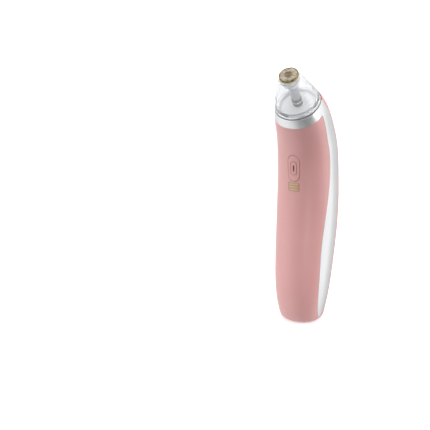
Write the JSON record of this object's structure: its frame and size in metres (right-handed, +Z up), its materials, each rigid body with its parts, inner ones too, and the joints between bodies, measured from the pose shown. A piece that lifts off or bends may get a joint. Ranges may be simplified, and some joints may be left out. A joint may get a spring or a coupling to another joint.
{
  "type": "pore vacuum",
  "caption": "Handheld pore vacuum: curved two-tone grip with front button, clear cone-shaped suction head leaning forward and a ring-shaped abrasive tip.",
  "frame": {"origin": "centre of the flat face under the grip, on which it stands", "axes": "+Z up along the grip, -Y towards the front with the button and the side the head leans to, +X to the right side"},
  "size_m": [0.0392, 0.0558, 0.1721],
  "materials": {
    "shell_pink": "satin gloss pink",
    "button_pink": "satin gloss pink",
    "band_white": "high gloss white",
    "seat_white": "fine matte light grey",
    "clear": "clear moulded plastic",
    "tube_grey": "smoky grey plastic",
    "dark_rubber": "matte dark rubber",
    "cream": "cream plastic",
    "gold": "brushed gold tone metal",
    "grit": "bonded brown abrasive grit",
    "amber": "amber tinted window",
    "foam": "open cell foam",
    "foam_white": "white filter felt",
    "pcb": "green laminate",
    "chip": "moulded black",
    "steel": "bright steel",
    "can_steel": "drawn steel",
    "copper": "enamelled copper",
    "magnet": "ferrite",
    "nylon": "natural nylon",
    "pump_grey": "moulded grey",
    "silicone": "translucent silicone",
    "carrier_plastic": "moulded dark grey",
    "cell": "blue sleeved cell",
    "nickel": "nickel",
    "led": "lens",
    "wire": "insulated wire"
  },
  "bodies": {
    "grip": {"battery_cell": "cell", "battery_pad": "foam", "battery_tabs": "nickel", "battery_wires": "wire", "board_components": "chip", "board_screws": "steel", "carrier": "carrier_plastic", "carrier_screws": "steel", "charge_board": "pcb", "charge_components": "chip", "charge_wires": "wire", "diaphragm": "dark_rubber", "exhaust_muffler": "foam", "filter_foam": "foam_white", "filter_sleeve": "dark_rubber", "front_shell": "shell_pink", "head_gasket": "dark_rubber", "head_seat": "seat_white", "indicator_leds": "led", "level_window": "amber", "main_board": "pcb", "motor_bearings": "copper", "motor_brushes": "copper", "motor_can": "can_steel", "motor_damper": "foam", "motor_endbell": "nylon", "motor_magnets": "magnet", "motor_screws": "steel", "motor_wires": "wire", "pump_cover": "pump_grey", "pump_housing": "pump_grey", "pump_lid": "pump_grey", "pump_screws": "steel", "rear_shell": "shell_pink", "sleeve_band": "seat_white", "suction_hose": "silicone", "tact_switch": "chip", "trim_frame": "band_white", "usb_shell": "nickel", "usb_tongue": "chip", "valve_body": "pump_grey", "valve_flaps": "dark_rubber"},
    "head": {"head_dome": "clear", "seat_oring": "silicone", "suction_tube": "tube_grey"},
    "tip": {"tip_base": "cream", "tip_ring": "gold", "tip_grit": "grit", "tip_oring": "silicone"},
    "button": {"button_cap": "button_pink", "button_inlay": "button_pink", "status_light": "chip", "switch_plunger": "nylon"},
    "rotor": {"motor_shaft": "steel", "armature_core": "can_steel", "armature_windings": "copper", "commutator": "copper", "eccentric": "nylon"},
    "piston": {"connecting_rod": "nylon", "diaphragm_button": "nylon"}
  },
  "joints": [
    {"name": "head_pull", "type": "slide", "parent": "grip", "child": "head", "axis": [0, -0.5446, 0.8387], "range_m": [0, 0.012]},
    {"name": "tip_pull", "type": "slide", "parent": "head", "child": "tip", "axis": [0, -0.5446, 0.8387], "range_m": [0, 0.008]},
    {"name": "button_press", "type": "slide", "parent": "grip", "child": "button", "axis": [0, 0.9925, 0.1219], "range_m": [0, 0.00035], "stiffness_N_per_m": 4000, "springref_m": -0.0001},
    {"name": "motor_spin", "type": "hinge", "parent": "grip", "child": "rotor", "pos_m": [0, 0.0015, 0.085], "axis": [0, 0, 1], "continuous": true},
    {"name": "pump_stroke", "type": "slide", "parent": "grip", "child": "piston", "axis": [0, 1, 0], "range_m": [-0.0006, 0.0006], "deforming": ["diaphragm"]}
  ]
}
